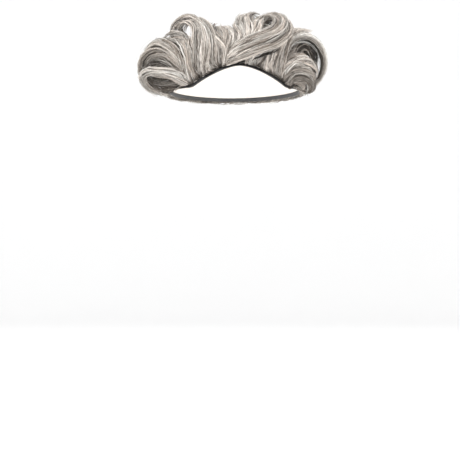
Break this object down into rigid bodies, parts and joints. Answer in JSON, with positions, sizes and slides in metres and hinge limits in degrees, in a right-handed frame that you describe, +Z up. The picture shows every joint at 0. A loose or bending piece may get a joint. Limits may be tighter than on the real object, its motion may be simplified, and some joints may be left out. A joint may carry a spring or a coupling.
{
  "type": "toupee hairpiece",
  "caption": "Men's toupee: thin domed base with a dark edge band and silver-grey wavy hair teased into a quiff, a swoop and temple curls.",
  "frame": {"origin": "underside of the base at its crown, where the top of the wearer's head touches it", "axes": "+Z up, -Y towards the wearer's face, +X towards the right as seen from the front"},
  "size_m": [0.2114, 0.1957, 0.1013],
  "materials": {
    "hair": "silver-grey wavy hair, satin sheen",
    "base": "fine pale mesh",
    "edge": "soft dark coated edge"
  },
  "bodies": {
    "root": {"base_cap": "base", "edge_band": "edge", "left_quiff": "hair", "right_swoop": "hair", "centre_waves": "hair", "right_loop": "hair", "right_temple_curl": "hair", "left_temple_curl": "hair", "front_roots": "hair", "left_side_waves": "hair", "right_side_waves": "hair", "crown_waves": "hair", "back_waves": "hair"}
  },
  "joints": []
}
